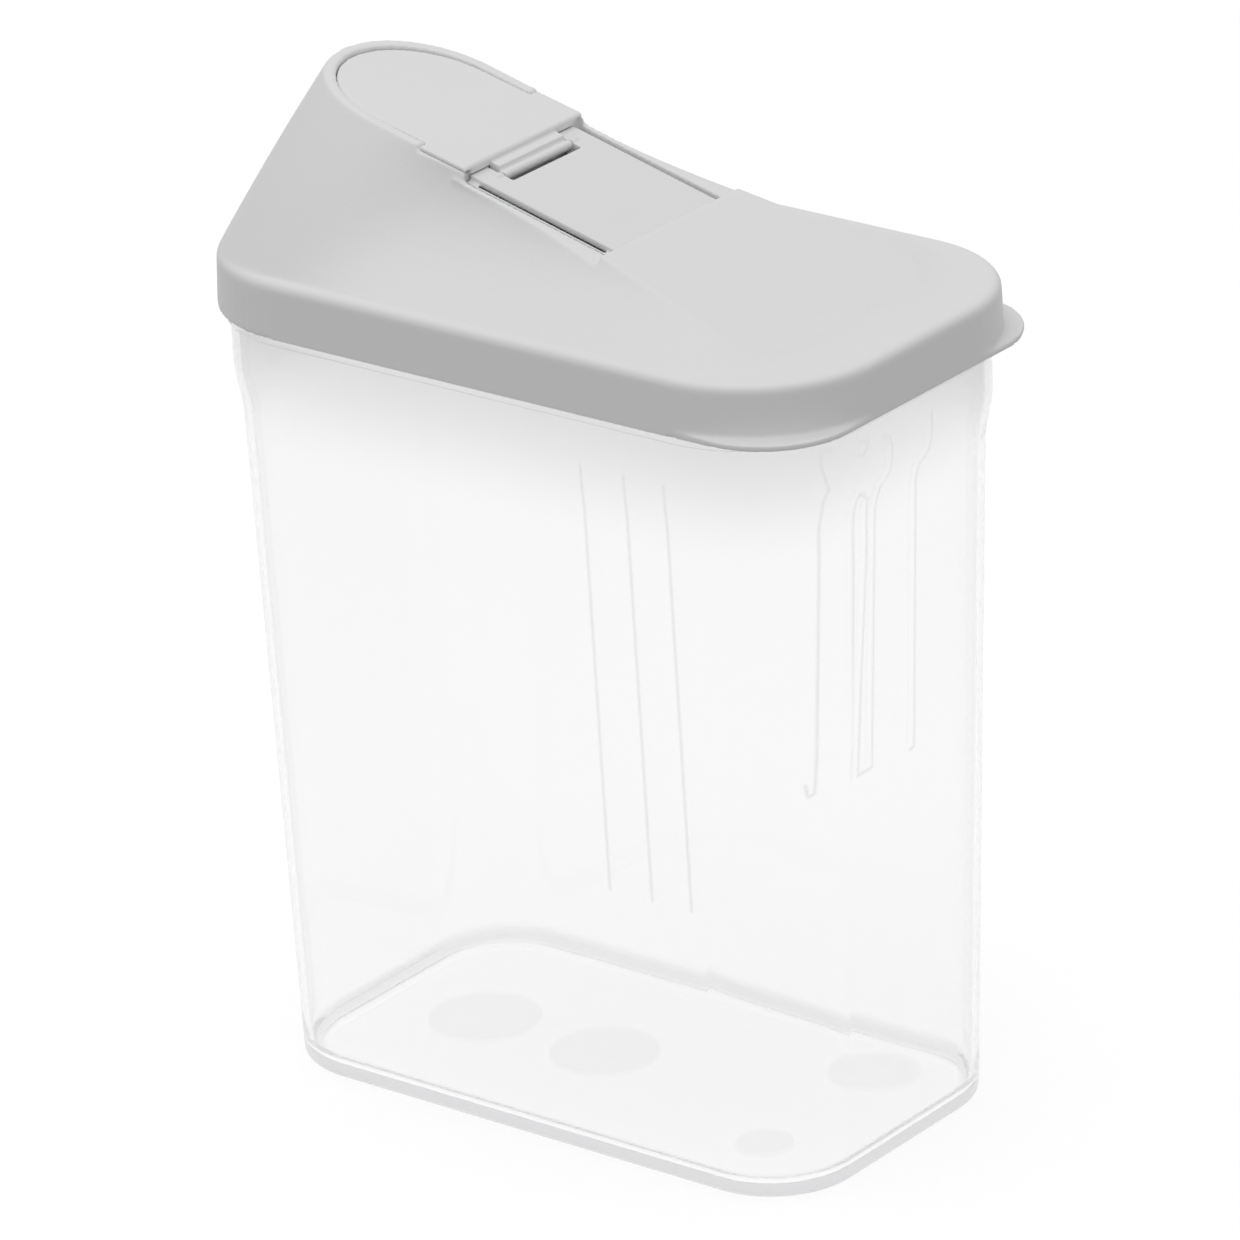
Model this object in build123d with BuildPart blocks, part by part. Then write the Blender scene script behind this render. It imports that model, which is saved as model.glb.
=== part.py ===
from build123d import *
import os
from math import radians, sqrt, tan

# A clear cereal container with a white lid that ends in a raised pour spout.
# The spout is closed by a D-shaped flap that flips back over the lid on a barrel hinge.
#
# Frame: millimetres, +Z up, origin at the centre of the underside of the base.
# The spout points to -X, the pull tabs of the lid are at the two +X corners.

os.makedirs("parts", exist_ok=True)

# ---- driving dimensions: container ----
base_length = 164.0         # outer length of the base
base_width = 91.6           # outer width of the base
base_corner = 23.0          # outer corner radius of the base
wall_draft = 1.95           # degrees that the walls lean outward
wall = 1.9                  # wall thickness
floor = 2.8                 # floor thickness
foot_round = 2.4            # outer rounding where floor meets wall
floor_round = 4.2           # inner rounding where floor meets wall
shoulder_height = 173.0     # height where the wall starts to flare into the neck
flare_height = 14.0         # from there to where the flare ends
flare_steps = 6
bead_drop = 1.8             # height of the stop bead under the lid
bead_reach = 1.3            # how far the bead stands out from the neck

# ---- driving dimensions: fine moulded lines on the walls ----
line_width = 1.0
line_proud = 0.2            # how far a line stands out of the wall
front_line_places = (31.5, 44.2, 56.0)          # along the front wall, from the centre
front_line_foot = 75.0      # lowest point of the front lines
front_line_top = 186.0
end_line_places = (-35.3, -22.6, -18.4, -14.6, 1.8)     # across the end wall, from the centre
end_line_foot = 106.0
end_line_top = 192.0
end_line_pairs = ((-22.6, 4.2, 176.0), (-18.4, 3.8, 106.9))     # cross line: place, length, height of its top

# ---- driving dimensions: round marks pressed into the underside of the base ----
mark_places = ((-47.7, -0.3, 14.6), (-10.1, 0.0, 14.1),         # x, y, radius
               (53.0, 26.5, 10.8), (53.8, -20.3, 7.6))
mark_width = 0.8
mark_depth = 0.15

# ---- driving dimensions: lid ----
lid_base = 200.0            # height of the bottom edge of the skirt
lid_length = 189.6          # outer length over the skirt
lid_width = 110.0           # outer width over the skirt
lid_corner = 35.0           # outer corner radius of the skirt
skirt_height = 14.4
skirt_draft = 2.0           # degrees that the skirt leans inward
skirt_round = 2.4           # rounding of the top edge of the skirt
skin = 1.9                  # wall thickness of the lid
tab_corner = 23.0           # corner radius of the pull-tab lips
tab_thickness = 1.5
tab_tail = 2.2              # where a lip starts, past the end of the straight side
collar_depth = 8.5          # sealing collar inside the rim, below the lid's skin
collar_wall = 1.5
collar_land = 1.3           # thickening of the wall above the collar

# ---- driving dimensions: spout tower and ramp ----
rise_slope = 0.25           # the top of the spout falls this much for each millimetre toward +X
step_x = -23.2              # where the rear edge of the flap steps down to the hinge
step_top = 240.4            # height of the spout's top plane at that step
spout_half_width = 23.05
spout_tip_x = -78.0         # front tip of the spout at its top edge
spout_tip_depth = 26.3      # length of the rounded front end
spout_tip_flat = 0.6        # half width of the nearly flat nose in the middle of the front end
rise_foot_length = 93.3     # reach of the tower's foot toward -X
rise_foot_half_width = 51.9
rise_foot_corner = 31.0
rise_end_top = 70.0         # where the ramp's top outline ends, toward +X
rise_end_foot = 82.0        # where the ramp's foot outline ends, toward +X
rise_end_corner_top = 5.0
rise_end_corner_foot = 36.0
rise_sag = 0.45             # how the height falls: 0.5 is even, less is faster near the top
rise_lean = 0.09            # how the side walls lean out: 0.5 is even, less is steeper near the top
ramp_lean = 0.38            # the same for the sides and the end of the ramp
bend_share = 0.4            # how long the bends are, where the side walls draw in behind the front
rise_root = 0.03            # share by which the walls run on below the foot, into the lid
rise_layers = 5

# ---- driving dimensions: spout mouth ----
rim_width = 2.5             # raised rim round the flap
ledge_width = 2.1           # ledge that the flap rests on, inside the rim
ledge_depth = 2.0           # thickness of that ledge
hollow_slope = 0.235        # slope of the underside of the lid's top skin
hollow_end_inset = 12.0     # from the low end of the ramp to the end of the hollow under it
mouth_rear_x = -26.0        # rear end of the pour mouth
rim_end_x = -37.0           # where the raised rim ends and the flap goes full width

# ---- driving dimensions: recess and ramp ----
recess_end_x = 20.0         # where the ramp's edge closes the recess
rail_drop = 3.3             # rails beside the hinge plate, below the spout's top plane
pocket_drop = 8.5           # floor of the hinge pocket, below the spout's top plane
pocket_front_x = -24.5
pocket_half_width = 22.9
shoulder_start = 0.3        # flat top of each rail, from the pocket to where its outer shoulder falls away
shoulder_start_ramp = 0.4   # the same at the ramp
shoulder_fall = 1.0         # slope of the shoulder at the flap
shoulder_fall_ramp = -0.12  # the same at the ramp, where it rises outward
shoulder_reach = 9.0        # how wide the cut that makes the shoulder is
tub_wall = 1.6              # walls of the pocket
ramp_drop = 1.4             # ramp, below the spout's top plane
ramp_half_width = 29.0      # at the low end of the ramp's top outline
ramp_bend = 14.0            # from where the ramp's foot would be sharp to each end of its bend
ramp_lip = 4.0              # how far the hinge pocket reaches under the ramp's edge
ramp_lip_skin = 1.6

# ---- driving dimensions: flap ----
flap_slope = 0.231          # slope of the flap's top face
flap_thickness = 2.55
wing_thickness = 1.0        # full-width rear part, which lies on the lowered rim
flap_round = 0.9            # rounding of the flap's rear edge
plug_wall = 1.4
plug_depth = 3.5
web_front_gap = 0.5         # between the front wall of the pocket and the hinge web
lip_drop = 1.5              # top of the web where it leaves the flap, below the spout's top plane
lip_reach = 2.2             # how far that top runs behind the flap's rear face
web_top_drop = 3.0          # top of the web from there to the barrel
web_bottom_drop = 4.1
web_end_gap = 0.4           # the web stops this short of each end of the barrel

# ---- driving dimensions: hinge ----
hinge_x = -19.9
hinge_drop = 3.6            # hinge axis below the spout's top plane
barrel_radius = 1.25
barrel_half_length = 13.0
pin_radius = 0.6
pin_half_length = 17.6
pin_chamfer = 0.15
ear_wall = 2.2              # length of each ear beside the barrel
ear_block = 2.6             # length of the block behind each ear
plate_drop = 2.75           # hinge plate's top, below the spout's top plane
plate_thickness = 1.8
plate_half_width = 20.2
plate_front_gap = 0.4       # between the front wall of the pocket and the plate
notch_gap = 2.2             # open slot behind the barrel
arm_inner = 21.2            # from the middle to each spring arm beside the plate
arm_wall = 0.6
arm_drop = 4.0              # top of the arms, below the spout's top plane
end_block = 3.0             # length of the blocks that join the arms to the plate
tongue_half_width = 17.0
tongue_overlap = 2.0
tongue_thickness = 1.4
tongue_reach = 3.4
peg_x = 4.0
peg_y = 12.0
peg_radius = 2.0
peg_head_radius = 2.8
peg_head_height = 2.2
peg_head_taper = 22.0       # degrees

# ---- clearances ----
lid_play = 0.4              # between the lid and the container
skirt_end_gap = 2.3         # the same between the neck and the skirt at the two ends
seat_play = 0.3             # between the flap and the rim round it
wing_end_play = 0.12        # between the flap's full-width rear part and the end of the rim
rest_play = 0.05            # between the flap's flat underside and its seat
plug_play = 0.3             # between the flap's plug and the mouth
plug_rear_play = 0.8        # the same at the rear, where the plug swings past the edge of the mouth
pin_play = 0.05             # running clearance of the barrel on the pin
ear_play = 0.3              # between the barrel and each ear
peg_play = 0.1              # between each peg and its hole
tongue_play = 0.4           # between the plate's tongue and the ramp's edge

# ---- places worked out from the dimensions above ----
skirt_top = lid_base + skirt_height
lid_underside = skirt_top - skin
bead_top = lid_base - lid_play
rim_top = lid_underside - lid_play
neck_length = lid_length - 2 * (skin + skirt_end_gap)   # the neck fits inside the skirt of the lid
neck_width = lid_width - 2 * (skin + lid_play)
neck_corner = lid_corner - skin - skirt_end_gap
neck_height = shoulder_height + flare_height
seam_height = shoulder_height - 4.0
flare_heights = [shoulder_height + (neck_height - shoulder_height) * step / flare_steps
                 for step in range(flare_steps + 1)]
reach = 400.0               # longer than the whole object, for cuts that pass right through
cut_margin = 3.0            # how far a cut runs past the face that it opens
join = 0.5                  # how far a joined piece reaches into its neighbour
seat_drop = flap_thickness + rest_play                          # flap's seat below its top face
ramp_end_x = step_x + (step_top - ramp_drop - skirt_top) / rise_slope   # where the ramp runs out on the lid
plate_front_x = pocket_front_x + plate_front_gap
notch_end_x = hinge_x + barrel_radius + notch_gap
web_front_x = pocket_front_x + web_front_gap
ear_inner = barrel_half_length + ear_play
tongue_drop = ramp_drop + ramp_lip_skin + tongue_play


def top_plane_height(x, drop=0.0):
    """height of the spout's top plane at x, or of a plane parallel to it and lower"""
    return step_top - rise_slope * (x - step_x) - drop


hinge_z = top_plane_height(hinge_x, hinge_drop)
flap_stretch = sqrt(1 + flap_slope ** 2)      # length along the flap for each millimetre along X


def outline_at(height):
    """half length, half width and corner radius of the container's outside at a height"""
    growth = height * tan(radians(wall_draft))
    way = min(max((height - shoulder_height) / (neck_height - shoulder_height), 0.0), 1.0)
    share = way * way * (3 - 2 * way)
    sizes = []
    for at_base, at_neck in ((base_length / 2, neck_length / 2), (base_width / 2, neck_width / 2),
                             (base_corner, neck_corner)):
        grown = at_base + growth
        sizes.append(grown + share * (at_neck - grown))
    return sizes


def ring(half_length, half_width, corner, height):
    """a rounded rectangle lying at a height"""
    with BuildSketch(Plane.XY.offset(height)) as outline:
        RectangleRounded(2 * half_length, 2 * half_width, corner)
    return outline.sketch


def outline_ring(inset, height):
    """the container's outside cut level at a height, or an outline parallel to it and further in"""
    half_length, half_width, corner = outline_at(height)
    return ring(half_length - inset, half_width - inset, corner - inset, height)


def neck_rings(inset, top):
    """outlines of the neck, from the tapered wall up through the flare to its top"""
    return [outline_ring(inset, height) for height in (seam_height, *flare_heights, top)]


def collar_band():
    """the sealing collar cut level, at its lower edge"""
    with BuildSketch(Plane.XY.offset(lid_underside - collar_depth)) as outline:
        for inset, mode in ((wall + lid_play, Mode.ADD), (wall + lid_play + collar_wall, Mode.SUBTRACT)):
            RectangleRounded(neck_length - 2 * inset, neck_width - 2 * inset, neck_corner - inset, mode=mode)
    return outline.sketch


def slanted_layer(x_start, x_end, drop_top, drop_bottom):
    """the side view of a layer that lies parallel to the spout's top plane"""
    with BuildSketch(Plane.XZ) as layer:
        with BuildLine():
            Polyline((x_start, top_plane_height(x_start, drop_bottom)),
                     (x_end, top_plane_height(x_end, drop_bottom)),
                     (x_end, top_plane_height(x_end, drop_top)),
                     (x_start, top_plane_height(x_start, drop_top)), close=True)
        make_face()
    return layer.sketch


def slope_plane(height_at_zero, slope):
    """a plane that falls toward +X with the given slope"""
    return Plane(origin=(0, 0, height_at_zero), x_dir=(1, 0, -slope), z_dir=(slope, 0, 1))


def spout_outline(plane, slope, inset, x_rear):
    """the D-shaped outline of the spout, drawn in a plane with the given slope"""
    stretch = sqrt(1 + slope ** 2)
    x_shoulder = (spout_tip_x + spout_tip_depth) * stretch
    half_width = spout_half_width - inset
    with BuildSketch(plane) as outline:
        with BuildLine():
            EllipticalCenterArc((x_shoulder, 0), (spout_tip_depth - inset) * stretch, half_width,
                                start_angle=90, arc_size=180)
            Polyline((x_shoulder, -half_width), (x_rear * stretch, -half_width),
                     (x_rear * stretch, half_width), (x_shoulder, half_width))
        make_face()
    return outline.sketch


def blend(at_top, at_foot, share):
    """a value between the one at the top and the one at the foot"""
    return at_top + (at_foot - at_top) * share


def rise_outline(plane, slope, fall, hollow_share, end_share, inset, end_inset):
    """outline of the tower and ramp, drawn in a plane with the given slope. Each share is 0 at the top edge
    and 1 at the foot: fall is that of the straight front, hollow_share that of the hollow sides behind it
    and end_share that of the ramp's sides and end"""
    stretch = sqrt(1 + slope ** 2)
    flat = blend(spout_tip_flat, rise_foot_half_width - rise_foot_corner, fall)
    nose_side = blend(spout_half_width, rise_foot_half_width, fall) - inset
    waist_side = blend(spout_half_width, rise_foot_half_width, hollow_share) - inset
    end_side = blend(ramp_half_width, rise_foot_half_width, end_share) - inset
    nose_depth = (blend(spout_tip_depth, rise_foot_corner, fall) - inset) * stretch
    tip = (blend(spout_tip_x, -rise_foot_length, fall) + inset) * stretch
    nose = tip + nose_depth
    waist = step_x * stretch
    end = (blend(rise_end_top, rise_end_foot, end_share) - end_inset) * stretch
    corner = blend(rise_end_corner_top, rise_end_corner_foot, end_share)
    front_pull = (waist - nose) * bend_share
    rear_pull = (end - corner - waist) * bend_share
    with BuildSketch(plane) as outline:
        with BuildLine():
            Line((tip, flat), (tip, -flat))
            EllipticalCenterArc((nose, -flat), nose_depth, nose_side - flat, start_angle=180, arc_size=90)
            Bezier((nose, -nose_side), (nose + front_pull, -nose_side), (waist - front_pull, -waist_side),
                   (waist, -waist_side))
            Bezier((waist, -waist_side), (waist + rear_pull, -waist_side),
                   (end - corner - rear_pull, -end_side), (end - corner, -end_side))
            CenterArc((end - corner, -end_side + corner), corner, 270, 90)
            Line((end, -end_side + corner), (end, end_side - corner))
            CenterArc((end - corner, end_side - corner), corner, 0, 90)
            Bezier((end - corner, end_side), (end - corner - rear_pull, end_side),
                   (waist + rear_pull, waist_side), (waist, waist_side))
            Bezier((waist, waist_side), (waist - front_pull, waist_side), (nose + front_pull, nose_side),
                   (nose, nose_side))
            EllipticalCenterArc((nose, flat), nose_depth, nose_side - flat, start_angle=90, arc_size=90)
        make_face()
    return outline.sketch


def rise_sections(foot_height, top_slope, top_lowering, inset_top, inset_foot, end_inset):
    """stacked outlines of the tower, each tilted a little less than the one above it; the last one lies
    just below the foot"""
    top_at_zero = step_top + top_slope * step_x - top_lowering
    sections = []
    for layer in range(rise_layers + 1):
        way = (1 + rise_root) * layer / rise_layers
        lift = (1 - way) ** 2 + 2 * rise_sag * way * (1 - way)
        hollow_share = way ** 2 + 2 * way * (1 - way) * rise_lean
        end_share = way ** 2 + 2 * way * (1 - way) * ramp_lean
        plane = slope_plane(foot_height + (top_at_zero - foot_height) * lift, top_slope * lift)
        inset = blend(inset_top, inset_foot, hollow_share)
        sections.append(rise_outline(plane, top_slope * lift, 1 - lift, hollow_share, end_share, inset,
                                     end_inset))
    return sections


def slanted_block(x_start, x_end, drop_top, drop_bottom, half_width, mode=Mode.ADD):
    """a block across the lid, parallel to the spout's top plane"""
    extrude(slanted_layer(x_start, x_end, drop_top, drop_bottom), amount=half_width, both=True, mode=mode)


def front_reach(place, height):
    """how far the front wall stands from the middle"""
    return outline_at(height)[1]


def end_reach(place, height):
    """how far the end wall stands from the middle at a place across it, also on its rounded corners"""
    half_length, half_width, corner = outline_at(height)
    past_flat = max(0.0, abs(place) - (half_width - corner))
    return half_length - corner + sqrt(corner ** 2 - past_flat ** 2)


def wall_line(plane, direction, reach_at, place, foot, top):
    """side view of a thin raised line that follows the outside of the container"""
    heights = [foot] + [height for height in flare_heights if foot < height < top] + [top]
    outside = [(direction * (reach_at(place, height) + line_proud), height) for height in heights]
    inside = [(direction * (reach_at(place, height) - wall / 2), height) for height in reversed(heights)]
    with BuildSketch(plane) as line:
        with BuildLine():
            Polyline(*outside, *inside, close=True)
        make_face()
    return line.sketch


def tab_outline(side):
    """a pull-tab lip: the skirt's corner again, with a smaller corner radius"""
    end, edge = lid_length / 2, lid_width / 2
    with BuildSketch(Plane.XY.offset(lid_base)) as outline:
        with BuildLine():
            Polyline((end - lid_corner + tab_tail, side * edge), (end - tab_corner, side * edge))
            CenterArc((end - tab_corner, side * (edge - tab_corner)), tab_corner, 0, side * 90)
            Polyline((end, side * (edge - tab_corner)), (end, side * (edge - lid_corner + tab_tail)),
                     (end - lid_corner + tab_tail, side * edge))
        make_face()
    return outline.sketch


def shoulder_section(x, side, start, fall):
    """cross-section of the space above the outer shoulder of a rail"""
    inner = pocket_half_width + start
    outer = inner + shoulder_reach
    height = top_plane_height(x, rail_drop)
    with BuildSketch(Plane.YZ.offset(x)) as space:
        with BuildLine():
            Polyline((side * inner, height), (side * outer, height - shoulder_reach * fall),
                     (side * outer, height + rail_drop), (side * inner, height + rail_drop), close=True)
        make_face()
    return space.sketch


def ramp_clearance():
    """side view of the space above the ramp and above the flat end of the lid, which it meets in a bend"""
    bend_start = ramp_end_x - ramp_bend
    bend_end = ramp_end_x + ramp_bend
    with BuildSketch(Plane.XZ) as space:
        with BuildLine():
            Line((recess_end_x, top_plane_height(recess_end_x, ramp_drop)),
                 (bend_start, top_plane_height(bend_start, ramp_drop)))
            Bezier((bend_start, top_plane_height(bend_start, ramp_drop)), (ramp_end_x, skirt_top),
                   (bend_end, skirt_top))
            Polyline((bend_end, skirt_top), (reach, skirt_top), (reach, reach), (recess_end_x, reach),
                     (recess_end_x, top_plane_height(recess_end_x, ramp_drop)))
        make_face()
    return space.sketch


def flap_plane(depth):
    """the plane of the flap's top face, or one parallel to it at a depth below it"""
    return slope_plane(step_top + flap_slope * step_x, flap_slope).offset(-depth)


def rear_outline(plane, x_start, x_end, half_width):
    """the full-width rear part of the flap, or the space that it takes up"""
    with BuildSketch(plane) as outline:
        with Locations(((x_start + x_end) / 2 * flap_stretch, 0)):
            Rectangle((x_end - x_start) * flap_stretch, 2 * half_width)
    return outline.sketch


def peg_circle(side, radius, drop):
    """outline of a snap peg, square to the hinge plate"""
    depth = drop / sqrt(1 + rise_slope ** 2)
    with BuildSketch(slope_plane(top_plane_height(0), rise_slope).offset(-depth)) as outline:
        with Locations((peg_x * sqrt(1 + rise_slope ** 2), side * peg_y)):
            Circle(radius)
    return outline.sketch


def hinge_circle(radius, y=0.0):
    """a circle round the hinge axis"""
    with BuildSketch(Plane.XZ.offset(-y)) as outline:
        with Locations((hinge_x, hinge_z)):
            Circle(radius)
    return outline.sketch


def ear_foot(side):
    """the block that carries an ear down to the floor of the pocket"""
    floor_front = top_plane_height(hinge_x - barrel_radius, pocket_drop)
    floor_rear = top_plane_height(hinge_x + barrel_radius, pocket_drop)
    with BuildSketch(Plane.XZ.offset(-side * ear_inner)) as outline:
        with BuildLine():
            Polyline((hinge_x - barrel_radius, floor_front), (hinge_x + barrel_radius, floor_rear),
                     (hinge_x + barrel_radius, hinge_z), (hinge_x - barrel_radius, hinge_z), close=True)
        make_face()
    return outline.sketch


def spring_arm(side):
    """side view of a spring arm of the hinge plate, standing on the floor of the pocket"""
    start = arm_inner if side > 0 else -arm_inner - arm_wall
    arm_end_x = recess_end_x - tongue_play
    with BuildSketch(Plane.XZ.offset(-start - arm_wall)) as outline:
        with BuildLine():
            Polyline((plate_front_x, top_plane_height(plate_front_x, pocket_drop)),
                     (arm_end_x, top_plane_height(arm_end_x, pocket_drop)),
                     (arm_end_x, top_plane_height(arm_end_x, arm_drop)),
                     (plate_front_x, top_plane_height(plate_front_x, arm_drop)), close=True)
        make_face()
    return outline.sketch


# ---- container: tapered tub, flared neck, stop bead and rim ----
with BuildPart() as hollow:
    extrude(outline_ring(wall, floor), amount=seam_height - floor, taper=-wall_draft)
    fillet(hollow.edges().group_by(Axis.Z)[0], radius=floor_round)
    loft(neck_rings(wall, rim_top + cut_margin), ruled=True)

with BuildPart() as container:
    extrude(outline_ring(0.0, 0.0), amount=seam_height, taper=-wall_draft)
    fillet(container.edges().group_by(Axis.Z)[0], radius=foot_round)
    loft(neck_rings(0.0, rim_top), ruled=True)
    extrude(outline_ring(-bead_reach, bead_top - bead_drop), amount=bead_drop)
    # fine raised lines down the front wall and the end wall
    for place in front_line_places:
        extrude(wall_line(Plane.YZ.offset(place), -1, front_reach, place, front_line_foot, front_line_top),
                amount=line_width / 2, both=True)
    for place in end_line_places:
        extrude(wall_line(Plane.XZ.offset(-place), 1, end_reach, place, end_line_foot, end_line_top),
                amount=line_width / 2, both=True)
    for place, length, top in end_line_pairs:
        extrude(wall_line(Plane.XZ.offset(-place - length), 1, end_reach, place, top - line_width, top),
                amount=length)
    add(hollow.part, mode=Mode.SUBTRACT)
    with BuildSketch():
        for x, y, radius in mark_places:
            with Locations((x, y)):
                Circle(radius)
                Circle(radius - mark_width, mode=Mode.SUBTRACT)
    extrude(amount=mark_depth, mode=Mode.SUBTRACT)
container.part.label = "container"

# ---- lid: skirt, pull-tab lips, spout tower, recess and ramp ----
with BuildPart() as lid:
    extrude(ring(lid_length / 2, lid_width / 2, lid_corner, lid_base), amount=skirt_height, taper=skirt_draft)
    fillet(lid.edges().group_by(Axis.Z)[-1], radius=skirt_round)
    for side in (-1, 1):
        extrude(tab_outline(side), amount=tab_thickness)
    loft(rise_sections(skirt_top, rise_slope, 0.0, 0.0, 0.0, 0.0))
    # the recess across the lid, and the level of the ramp behind it
    slanted_block(step_x, recess_end_x, -rail_drop, rail_drop, reach, Mode.SUBTRACT)
    for side in (-1, 1):
        loft([shoulder_section(step_x, side, shoulder_start, shoulder_fall),
              shoulder_section(recess_end_x, side, shoulder_start_ramp, shoulder_fall_ramp)],
             ruled=True, mode=Mode.SUBTRACT)
    extrude(ramp_clearance(), amount=reach, both=True, mode=Mode.SUBTRACT)
    # the hollow inside the tower, and the one inside the skirt
    loft(rise_sections(lid_underside, hollow_slope, seat_drop + ledge_depth, skin, skin + collar_land,
                       hollow_end_inset), mode=Mode.SUBTRACT)
    extrude(ring(lid_length / 2 - skin, lid_width / 2 - skin, lid_corner - skin, lid_base),
            amount=skirt_height - skin, mode=Mode.SUBTRACT)
    # the tub under the recess, with the pocket that takes the hinge plate
    slanted_block(pocket_front_x - tub_wall, recess_end_x + ramp_lip + tub_wall, rail_drop,
                  pocket_drop + tub_wall, pocket_half_width + tub_wall)
    slanted_block(pocket_front_x, recess_end_x, -rail_drop, pocket_drop, pocket_half_width, Mode.SUBTRACT)
    slanted_block(recess_end_x - cut_margin, recess_end_x + ramp_lip, ramp_drop + ramp_lip_skin, pocket_drop,
                  tongue_half_width + tongue_play, Mode.SUBTRACT)
    for side in (-1, 1):
        extrude(peg_circle(side, peg_radius + peg_play, pocket_drop - cut_margin),
                amount=-(tub_wall + 2 * cut_margin), mode=Mode.SUBTRACT)
    # the seat of the flap, full width behind the raised rim, and the pour mouth
    extrude(spout_outline(flap_plane(seat_drop), flap_slope, rim_width, step_x), amount=reach,
            mode=Mode.SUBTRACT)
    extrude(rear_outline(flap_plane(wing_thickness + rest_play), rim_end_x, step_x + seat_drop, reach),
            amount=reach, mode=Mode.SUBTRACT)
    extrude(spout_outline(flap_plane(seat_drop), flap_slope, rim_width + ledge_width, mouth_rear_x),
            amount=-(ledge_depth + cut_margin), mode=Mode.SUBTRACT)
    # the sealing collar that hangs inside the rim of the container
    extrude(collar_band(), amount=collar_depth)
lid.part.label = "lid"

# ---- flap: D-shaped cover, sealing plug underneath, web and barrel of the hinge ----
with BuildPart() as flap:
    extrude(spout_outline(flap_plane(0.0), flap_slope, rim_width + seat_play, step_x), amount=-flap_thickness)
    extrude(rear_outline(flap_plane(0.0), rim_end_x + wing_end_play, step_x, spout_half_width),
            amount=-wing_thickness)
    fillet(flap.faces().sort_by(Axis.X)[-1].edges().group_by(Axis.Z)[-1], radius=flap_round)
    plug_inset = rim_width + ledge_width + plug_play
    plug_rear_x = mouth_rear_x - plug_rear_play
    underside = flap_plane(flap_thickness)
    extrude(spout_outline(underside, flap_slope, plug_inset, plug_rear_x), amount=-plug_depth)
    extrude(spout_outline(underside, flap_slope, plug_inset + plug_wall, plug_rear_x - plug_wall),
            amount=-plug_depth, mode=Mode.SUBTRACT)
    web_half_width = barrel_half_length - web_end_gap
    slanted_block(web_front_x, step_x + lip_reach, lip_drop, web_bottom_drop, web_half_width)
    slanted_block(web_front_x, hinge_x, web_top_drop, web_bottom_drop, web_half_width)
    extrude(hinge_circle(barrel_radius), amount=barrel_half_length, both=True)
    extrude(hinge_circle(pin_radius + pin_play), amount=reach, both=True, mode=Mode.SUBTRACT)
flap.part.label = "flap"

# ---- hinge plate: lies in the pocket behind the flap and carries the hinge ----
with BuildPart() as hinge_plate:
    slanted_block(plate_front_x, recess_end_x - tongue_play, plate_drop, plate_drop + plate_thickness,
                  plate_half_width)
    for side in (-1, 1):
        extrude(spring_arm(side), amount=arm_wall)
    plate_bottom_drop = plate_drop + plate_thickness
    for block_x in (plate_front_x, recess_end_x - tongue_play - end_block):
        slanted_block(block_x, block_x + end_block, arm_drop, plate_bottom_drop, arm_inner + arm_wall)
    slanted_block(recess_end_x - tongue_overlap, recess_end_x + tongue_reach, tongue_drop,
                  tongue_drop + tongue_thickness, tongue_half_width)
    slanted_block(plate_front_x - cut_margin, notch_end_x, -rail_drop, pocket_drop, ear_inner, Mode.SUBTRACT)
    for side in (-1, 1):
        extrude(hinge_circle(barrel_radius, side * ear_inner), amount=-side * (ear_wall + join))
        extrude(ear_foot(side), amount=-side * (ear_wall + ear_block))
        extrude(peg_circle(side, peg_radius, plate_drop + plate_thickness / 2),
                amount=-(pocket_drop + tub_wall - plate_drop - plate_thickness / 2))
        extrude(peg_circle(side, peg_head_radius, pocket_drop + tub_wall + peg_play), amount=-peg_head_height,
                taper=peg_head_taper)
    extrude(hinge_circle(pin_radius), amount=pin_half_length, both=True, mode=Mode.SUBTRACT)
hinge_plate.part.label = "hinge_plate"

# ---- hinge pin ----
with BuildPart() as hinge_pin:
    extrude(hinge_circle(pin_radius), amount=pin_half_length, both=True)
    chamfer(hinge_pin.edges().filter_by(GeomType.CIRCLE), length=pin_chamfer)
hinge_pin.part.label = "hinge_pin"

for piece in (container, lid, flap, hinge_plate, hinge_pin):
    export_step(piece.part, f"parts/{piece.part.label}.step")
    print(piece.part.label, piece.part.is_valid, len(piece.part.solids()), round(piece.part.volume))
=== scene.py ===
# %% [markdown]
# A clear cereal container with a white lid. The lid carries a raised pour spout, and a D-shaped flap
# closes the spout and flips back over the lid.
# The pieces arrive from the construction model at their real size and place, in metres. This file rounds
# the edges of the white ones, draws the clear tub again with finer faces, gives every piece its finish, and
# adds a floor, plain studio light and a camera. Nothing is moved or resized.

import math

import bpy
from mathutils import Matrix, Vector


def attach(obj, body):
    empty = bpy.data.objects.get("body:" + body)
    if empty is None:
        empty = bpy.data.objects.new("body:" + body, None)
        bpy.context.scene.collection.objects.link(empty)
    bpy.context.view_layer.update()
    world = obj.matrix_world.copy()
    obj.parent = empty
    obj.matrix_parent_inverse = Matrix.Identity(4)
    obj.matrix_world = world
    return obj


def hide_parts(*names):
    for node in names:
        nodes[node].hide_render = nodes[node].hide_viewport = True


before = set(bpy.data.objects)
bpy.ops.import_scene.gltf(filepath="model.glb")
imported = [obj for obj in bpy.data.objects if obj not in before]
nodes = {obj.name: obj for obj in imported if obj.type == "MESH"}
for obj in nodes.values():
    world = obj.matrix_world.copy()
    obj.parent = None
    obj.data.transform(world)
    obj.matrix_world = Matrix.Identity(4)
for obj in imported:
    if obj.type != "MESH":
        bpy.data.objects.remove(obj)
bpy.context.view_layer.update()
print("nodes:", sorted(nodes))

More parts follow.
